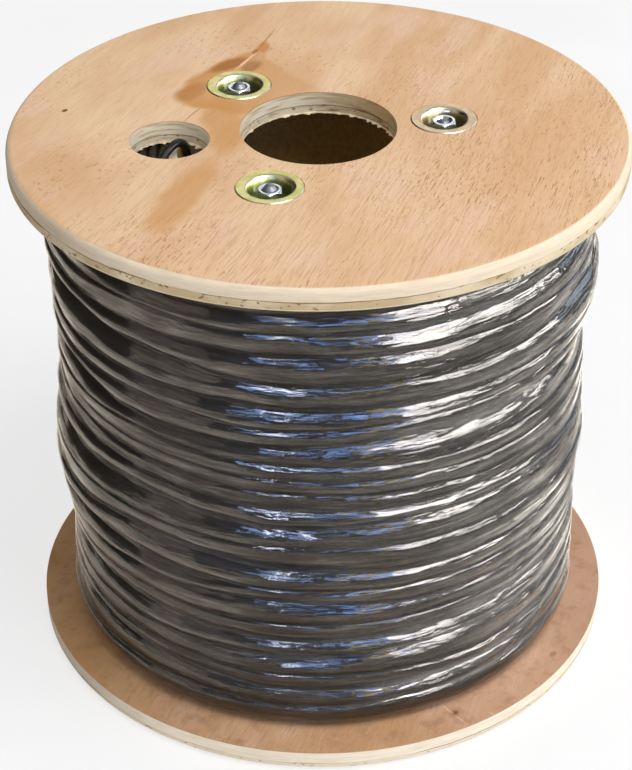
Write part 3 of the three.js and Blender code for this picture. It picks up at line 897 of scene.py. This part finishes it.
def hex_nut(name):
    """Hexagon chamfered at both ends, with a countersunk bore."""
    corner = NUT_FLATS / math.sqrt(3)
    top = NUT_SEAT + NUT_HEIGHT
    chamfer = 1.1 * MM
    nut = added(name, "primitive_cylinder_add", vertices=6, radius=corner, depth=NUT_HEIGHT,
                location=(0, 0, NUT_SEAT + NUT_HEIGHT / 2))
    half = NUT_FLATS / 2
    round_body = turned("chamfers", [
        (ROD_HOLE_RADIUS, NUT_SEAT), (half * 0.97, NUT_SEAT), (corner, NUT_SEAT + chamfer),
        (corner, top - chamfer), (half * 0.97, top), (ROD_HOLE_RADIUS + 0.7 * MM, top),
        (ROD_HOLE_RADIUS, top - 1.2 * MM)], 72)
    combined(nut, round_body, "INTERSECT")
    return modified(nut, "BEVEL", width=0.12 * MM, segments=2, angle_limit=math.radians(25))


def threaded_end(name, low, high):
    """A helical ridge, to be joined with the rod's shank."""
    tooth = added(name, "primitive_circle_add", vertices=3, radius=0.62 * THREAD_PITCH, fill_type="NGON",
                  location=(ROD_RADIUS - 0.42 * MM, 0, low), rotation=(math.pi / 2, math.pi / 2, 0))
    turns = int((high - low) / THREAD_PITCH)
    return modified(tooth, "SCREW", screw_offset=THREAD_PITCH, iterations=turns, steps=32, render_steps=32,
                    use_normal_calculate=True)


def rod(name, low, high):
    """Tie rod with domed ends."""
    core = ROD_RADIUS - 0.3 * MM
    outward = [(0.02, 0), (1.1, 0.1), (2.0, 0.4), (2.7, 0.9), (3.2, 1.5)]
    lower = [(radius * MM, low + depth * MM) for radius, depth in outward]
    upper = [(radius * MM, high - depth * MM) for radius, depth in outward[::-1]]
    return turned(name, [*lower, (core, low + 2 * MM), (core, high - 2 * MM), *upper], 48)


def zinc(name, tone, tint, roughness, tint_share, cup_tone=None):
    """Zinc plate. A washer's passivate is rubbed pale at its lip, and deeper in its cup."""
    f = Finish(name)
    place = f.place()
    cloud = f.noise(place, 160.0, 3.0)
    plate = f.blend(f.ramp(cloud, 0.35, 0.65, 0, tint_share), tone, tint)
    satin = f.ramp(cloud, 0.3, 0.7, roughness * 0.8, roughness * 1.25)
    if cup_tone:
        middle = DRUM_TOP / 2
        out = f.math("ABSOLUTE", f.math("SUBTRACT", f.axis(place, "Z"), middle))
        face = UPPER_SEAT - middle + WASHER_SHEET
        rubbed = f.math("MULTIPLY", f.ramp(out, face - 2 * MM, face - 0.9 * MM, 0, 0.75),
                        f.ramp(out, face - 0.35 * MM, face - 0.05 * MM, 1.0, 0.0))
        plate = f.blend(rubbed, plate, rgb(228, 218, 200))
        cupped = f.ramp(out, face - 3.7 * MM, face - 1.5 * MM, 1.0, 0.0)
        plate = f.blend(cupped, plate, cup_tone)
        satin = f.math("ADD", satin, f.math("MULTIPLY", cupped, 0.15))
    f.surface(base_color=plate, metallic=1.0, coat_weight=0.5, coat_roughness=0.15,
              roughness=satin,
              normal=f.bump(f.noise(place, 1400.0, 2.0), 0.02 * MM, 0.3))
    return f.material


def zincs():
    return {"bright": zinc("bright_zinc_plate", rgb(216, 218, 222), rgb(180, 184, 194), 0.28, 0.6),
            "dull": zinc("dull_zinc_plate", rgb(122, 123, 127), rgb(106, 107, 112), 0.55, 0.6),
            "greenish": zinc("yellow_passivated_zinc", rgb(198, 188, 118), rgb(184, 180, 96), 0.3, 1.0,
                             rgb(98, 106, 58)),
            "pale": zinc("pale_passivated_zinc", rgb(194, 170, 134), rgb(184, 158, 118), 0.3, 1.0,
                         rgb(108, 100, 62))}


def hardware():
    coats = zincs()
    washer_model, nut_model = cup_washer("washer_model"), hex_nut("nut_model")
    for number, place in enumerate(RODS, 1):
        coat = coats["pale" if number == 1 else "greenish"]
        for model, title, node, finish, slot, degrees in (
                (washer_model, "dished_washer", "cup_washer", coat, "yellow_zinc", 40),
                (nut_model, "hex_nut", "nut", coats["bright"], "bright_zinc", 25)):
            upper = copied(model, f"{title}_top_{number}", (place.x, place.y, UPPER_SEAT))
            dress(smoothed(upper, degrees), finish, slot, f"{node}_top_{number}")
            lower = copied(model, f"{title}_bottom_{number}")
            with edit_mode(lower):
                bpy.ops.transform.rotate(value=math.pi, orient_axis="X", center_override=(0, 0, 0))
                bpy.ops.transform.translate(value=(place.x, place.y, LOWER_SEAT))
            dress(smoothed(lower, degrees), finish, slot, f"{node}_bottom_{number}")
        lo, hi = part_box(f"tie_rod_{number}")
        shank = rod(f"threaded_rod_{number}", lo.z, hi.z)
        combined(shank, threaded_end("thread_top", hi.z - THREAD_REACH, hi.z - THREAD_BELOW_END), "UNION")
        with edit_mode(shank):
            bpy.ops.transform.translate(value=(place.x, place.y, 0))
        dress(smoothed(shank, 40), coats["dull"], "bright_zinc", f"tie_rod_{number}")
    bpy.data.objects.remove(washer_model)
    bpy.data.objects.remove(nut_model)


# ---------- floor, world and lights ----------
DRUM_MIDDLE = Vector((0, 0, 0.16))
FLOOR_WHITENESS = 0.68  # share of plain white in the floor, as the camera and what mirrors it see it


def add_floor():
    """A pale floor that looks nearly white to the camera and in what mirrors it, and keeps its shadow."""
    floor = added("studio_floor", "primitive_plane_add", size=14)
    f = Finish("pale_floor")
    f.surface(base_color=(0.93, 0.93, 0.93, 1), roughness=0.8)
    ray = f.node("LightPath").outputs
    seen = f.math("MAXIMUM", ray["Is Glossy Ray"], ray["Is Transmission Ray"])
    seen = f.math("MAXIMUM", ray["Is Camera Ray"], seen)
    white = f.node("Emission", {"Color": (1, 1, 1, 1), "Strength": 1.0}).outputs[0]
    share = f.math("MULTIPLY", seen, FLOOR_WHITENESS)
    lit = f.node("MixShader", {0: share, 1: f.shader.outputs[0], 2: white}).outputs[0]
    f.feed(f.out.inputs["Surface"], lit)
    floor.data.materials.append(f.material)


def add_world(strength):
    world = bpy.data.worlds.new("soft_studio")
    bpy.context.scene.world = world
    world.use_nodes = True
    world.node_tree.nodes["Background"].inputs["Color"].default_value = (1, 1, 1, 1)
    world.node_tree.nodes["Background"].inputs["Strength"].default_value = strength


def around(azimuth, elevation, distance):
    """A place seen from the drum's middle: azimuth 0 is towards the camera, and rises to the right."""
    a, e = math.radians(azimuth), math.radians(elevation)
    direction = Vector((math.sin(a) * math.cos(e), -math.cos(a) * math.cos(e), math.sin(e)))
    return direction * distance + DRUM_MIDDLE


def softbox(name, azimuth, elevation, distance, width, height, level, colour=(1, 1, 1), mirrored_only=False):
    """An area lamp that faces the drum. Level is its brightness, where 1 is white."""
    bpy.ops.object.light_add(type="AREA", location=around(azimuth, elevation, distance))
    lamp = bpy.context.active_object
    lamp.name = name
    lamp.rotation_euler = (lamp.location - DRUM_MIDDLE).to_track_quat("Z", "Y").to_euler()
    lamp.data.shape = "RECTANGLE"
    lamp.data.size, lamp.data.size_y = width, height
    lamp.data.energy = level * math.pi * width * height
    lamp.data.color = colour
    lamp.visible_camera = False
    lamp.visible_diffuse = not mirrored_only
    return lamp


def show_in_mirrors(card, f, first, second, scale):
    """Shows a card only in what mirrors it, in a mottle of just these two tones."""
    mottle = f.ramp(f.noise(f.place(), scale, 3.0), 0.4, 0.6)
    paint = f.node("Emission", {"Color": f.blend(mottle, first, second), "Strength": 1.0}).outputs[0]
    f.feed(f.out.inputs["Surface"], paint)
    card.data.materials.append(f.material)
    card.visible_camera = card.visible_diffuse = card.visible_shadow = False


def standing_card(name, first, last, top, distance, dark, light):
    """A curved card that stands round the drum between two azimuths."""
    card = added(name, "primitive_plane_add", size=1, rotation=(math.pi / 2, 0, 0))
    with edit_mode(card):
        pick("EDGE", lambda at: at.x < -0.4)
        bpy.ops.mesh.select_all(action="INVERT")
        bpy.ops.mesh.delete(type="EDGE")
        bpy.ops.mesh.select_all(action="SELECT")
        bpy.ops.transform.translate(value=(0.5, 0, 0.5))
        bpy.ops.transform.resize(value=(1, 1, top), center_override=(0, 0, 0))
        bpy.ops.transform.translate(value=(0, -distance, 0))
        bpy.ops.transform.rotate(value=-math.radians(first), orient_axis="Z", center_override=(0, 0, 0))
        bpy.ops.mesh.spin(steps=24, angle=-math.radians(last - first), center=(0, 0, 0), axis=(0, 0, 1))
    show_in_mirrors(card, Finish(f"{name}_paint"), (*dark, 1), (*light, 1), 1.5)


def ground_card():
    """A mottled ground just above the floor: browner and, behind, duller to the left, dark far off."""
    card = added("ground_card", "primitive_circle_add", vertices=48, radius=3, fill_type="NGON",
                 location=(0, 0, MM))
    f = Finish("ground_card_paint")
    place = f.place()
    rightward = f.ramp(f.axis(place, "X"), -0.15, 0.32)
    away = f.ramp(f.node("VectorMath", {0: place}, operation="LENGTH").outputs["Value"], 0.75, 1.5)
    behind = f.ramp(f.axis(place, "Y"), -0.22, -0.02)
    light_left = f.blend(behind, (1.85, 1.74, 1.58, 1), (1.05, 0.98, 0.87, 1))
    dark = f.blend(rightward, (0.6, 0.52, 0.45, 1), (0.4, 0.38, 0.35, 1))
    light_right = f.blend(behind, (1.8, 1.77, 1.68, 1), (2.15, 2.1, 1.98, 1))
    light = f.blend(rightward, light_left, light_right)
    far = (0.05, 0.05, 0.05, 1)
    show_in_mirrors(card, f, f.blend(away, dark, far), f.blend(away, light, far), 7.0)


def light_studio():
    """Each lamp has its azimuth, elevation, distance, width, height, level and colour, in this order."""
    add_floor()
    add_world(0.44)
    softbox("key_softbox", 52, 62, 2.6, 1.6, 1.3, 6.4)
    softbox("right_window", 76, 12, 2.6, 2.3, 0.9, 1.25)
    softbox("back_panel", 180, 36, 2.6, 2.8, 1.6, 0.85, mirrored_only=True)
    softbox("window_pane_near", 42, 19, 2.4, 0.95, 1.25, 18.0, (1, 0.97, 0.95), mirrored_only=True)
    softbox("window_pane_far", 78, 19, 2.4, 1.8, 0.85, 16.0, (1, 0.98, 0.97), mirrored_only=True)
    softbox("far_sky", 122, 14, 2.6, 1.6, 1.0, 3.0, (0.66, 0.8, 1.0), mirrored_only=True)
    softbox("blue_window", -13.5, 16, 2.8, 1.35, 0.6, 8.5, (0.3, 0.5, 1.0), mirrored_only=True)
    softbox("blue_window_right", 21, 17, 2.8, 1.6, 0.4, 14.0, (0.22, 0.43, 1.0), mirrored_only=True)
    softbox("bright_pane", -15, 13, 2.7, 0.5, 0.18, 32.0, (0.9, 0.95, 1.0), mirrored_only=True)
    softbox("yellow_wall", 22, 7, 2.2, 0.7, 0.34, 5.0, (1.0, 0.82, 0.3), mirrored_only=True)
    standing_card("left_card", -165, -74, 1.4, 0.95, (0.012, 0.009, 0.006), (0.035, 0.026, 0.018))
    standing_card("fence_card", -74, -44, 2.2, 3.0, (0.5, 0.42, 0.38), (1.15, 0.98, 0.88))
    standing_card("hedge_card", -44, -31, 2.2, 3.0, (0.012, 0.015, 0.010), (0.05, 0.055, 0.04))
    standing_card("front_card", -31, 150, 2.2, 3.0, (0.008, 0.011, 0.018), (0.03, 0.034, 0.045))
    ground_card()


# ---------- the drum ----------
add_camera()
jacket = cable_finish()
inner_end(jacket)
light_studio()
upper_ply, lower_ply = plywoods()
flange_top(upper_ply)
flange_bottom(lower_ply)
barrel(fibre_finish())
winding(jacket)
film(film_finish())
hardware()

scene = bpy.context.scene
scene.view_settings.view_transform = "Standard"
